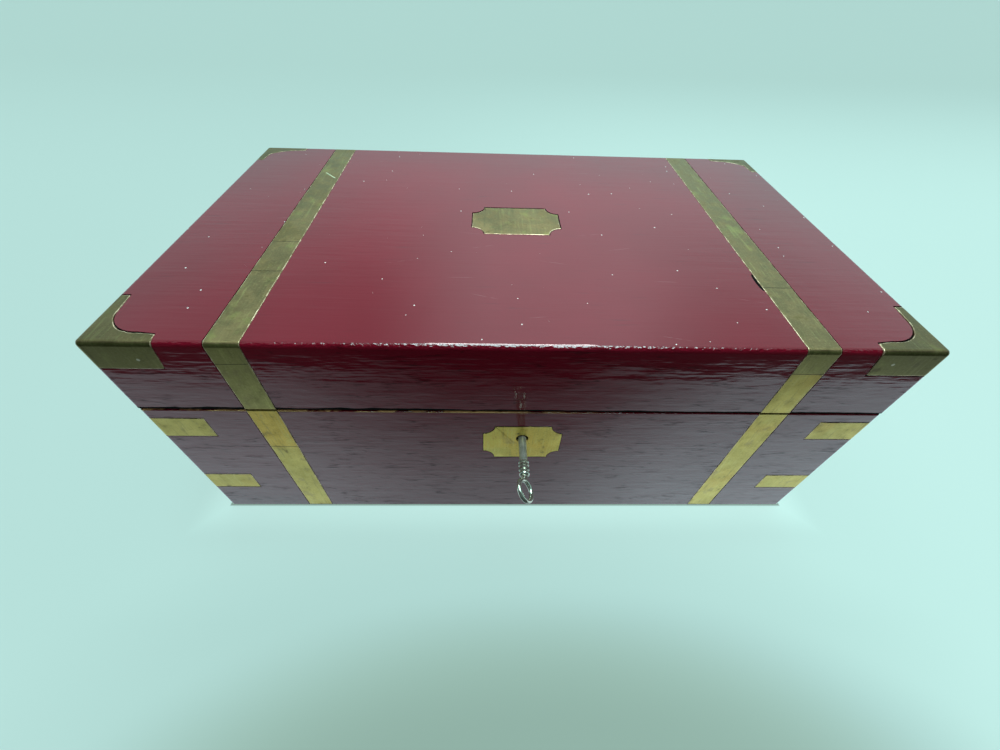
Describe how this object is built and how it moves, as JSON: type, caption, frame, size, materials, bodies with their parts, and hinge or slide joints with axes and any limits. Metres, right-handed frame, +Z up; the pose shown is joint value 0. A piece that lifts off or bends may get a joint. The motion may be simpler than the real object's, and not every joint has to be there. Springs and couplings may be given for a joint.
{
  "type": "campaign writing slope",
  "caption": "Brass-bound painted wooden box that opens into a sloping desk, with leather flaps over storage, a pen and ink section, a lock with its key and flush end handles.",
  "frame": {"origin": "centre of the closed box's footprint, on the surface that it stands on", "axes": "+X along the box to the right, seen from the lock; -Y out of the lock side; +Z up"},
  "size_m": [0.406, 0.2828, 0.16],
  "materials": {
    "painted_wood": "brushed burgundy gloss paint outside, bare mahogany inside",
    "mahogany": "waxed mahogany",
    "leather": "worn writing skiver",
    "glass": "clear moulded glass",
    "steel": "worn polished steel",
    "brass": "aged, olive patina"
  },
  "bodies": {
    "base": {"base_front_board": "painted_wood", "base_back_board": "painted_wood", "base_left_board": "painted_wood", "base_right_board": "painted_wood", "base_bottom_board": "painted_wood", "base_front_strap_left": "brass", "base_front_strap_right": "brass", "base_back_strap_left": "brass", "base_back_strap_right": "brass", "base_corner_brackets_front_left": "brass", "base_corner_brackets_front_right": "brass", "base_corner_brackets_back_left": "brass", "base_corner_brackets_back_right": "brass", "pen_section_wall": "mahogany", "pen_section_floor": "mahogany", "ink_partition_left": "mahogany", "ink_partition_right": "mahogany", "pen_tray": "mahogany", "ink_bottle_left": "glass", "ink_bottle_right": "glass", "ink_bottle_cap_left": "brass", "ink_bottle_cap_right": "brass", "escutcheon": "brass", "lock_case": "brass", "lock_face_plate": "brass", "base_hinge_leaf_left": "brass", "base_hinge_leaf_right": "brass", "hinge_pins": "brass", "base_rim_screws": "brass", "handle_plate_left": "brass", "handle_plate_right": "brass", "handle_screws": "brass"},
    "lid": {"lid_top_board": "painted_wood", "lid_front_board": "painted_wood", "lid_back_board": "painted_wood", "lid_left_board": "painted_wood", "lid_right_board": "painted_wood", "lid_strap_left": "brass", "lid_strap_right": "brass", "lid_corner_cap_front_left": "brass", "lid_corner_cap_front_right": "brass", "lid_corner_cap_back_left": "brass", "lid_corner_cap_back_right": "brass", "lid_name_plate": "brass", "lock_link_plate": "brass", "lid_hinge_leaf_left": "brass", "lid_hinge_leaf_right": "brass", "lid_rim_screws": "brass", "lid_flap_catch": "brass"},
    "base_flap": {"base_writing_flap": "mahogany", "base_flap_leather": "leather", "base_flap_pins": "brass"},
    "lid_flap": {"lid_writing_flap": "mahogany", "lid_flap_leather": "leather", "lid_flap_pins": "brass"},
    "lock_bolt": {"lock_bolt": "steel"},
    "key": {"key": "steel"},
    "handle_left": {"handle_bail_left": "brass"},
    "handle_right": {"handle_bail_right": "brass"}
  },
  "joints": [
    {"name": "lid_hinge", "type": "hinge", "parent": "base", "child": "lid", "pos_m": [0, 0.1203, 0.07996], "axis": [-1, 0, 0], "range_deg": [0, 180]},
    {"name": "base_flap_hinge", "type": "hinge", "parent": "base", "child": "base_flap", "pos_m": [0, 0.10609, 0.07798], "axis": [-1, 0, 0], "range_deg": [0, 54]},
    {"name": "lid_flap_hinge", "type": "hinge", "parent": "lid", "child": "lid_flap", "pos_m": [0, 0.10711, 0.08561], "axis": [1, 0, 0], "range_deg": [0, 54]},
    {"name": "key_turn", "type": "hinge", "parent": "base", "child": "key", "pos_m": [0.0029, -0.12, 0.0865], "axis": [0, -1, 0], "range_deg": [-38, 142]},
    {"name": "bolt_slide", "type": "slide", "parent": "base", "child": "lock_bolt", "axis": [1, 0, 0], "range_m": [-0.0013, 0.0048]},
    {"name": "handle_left_swing", "type": "hinge", "parent": "base", "child": "handle_left", "pos_m": [-0.1997, 0, 0.0556], "axis": [0, 1, 0], "range_deg": [0, 90]},
    {"name": "handle_right_swing", "type": "hinge", "parent": "base", "child": "handle_right", "pos_m": [0.1997, 0, 0.0556], "axis": [0, -1, 0], "range_deg": [0, 90]}
  ],
  "couplings": [
    {"joint": "base_flap_hinge", "follows": "lid_hinge", "ratio": 0.3},
    {"joint": "lid_flap_hinge", "follows": "lid_hinge", "ratio": 0.3},
    {"joint": "bolt_slide", "follows": "key_turn", "m_per_rad": 0.0019}
  ]
}
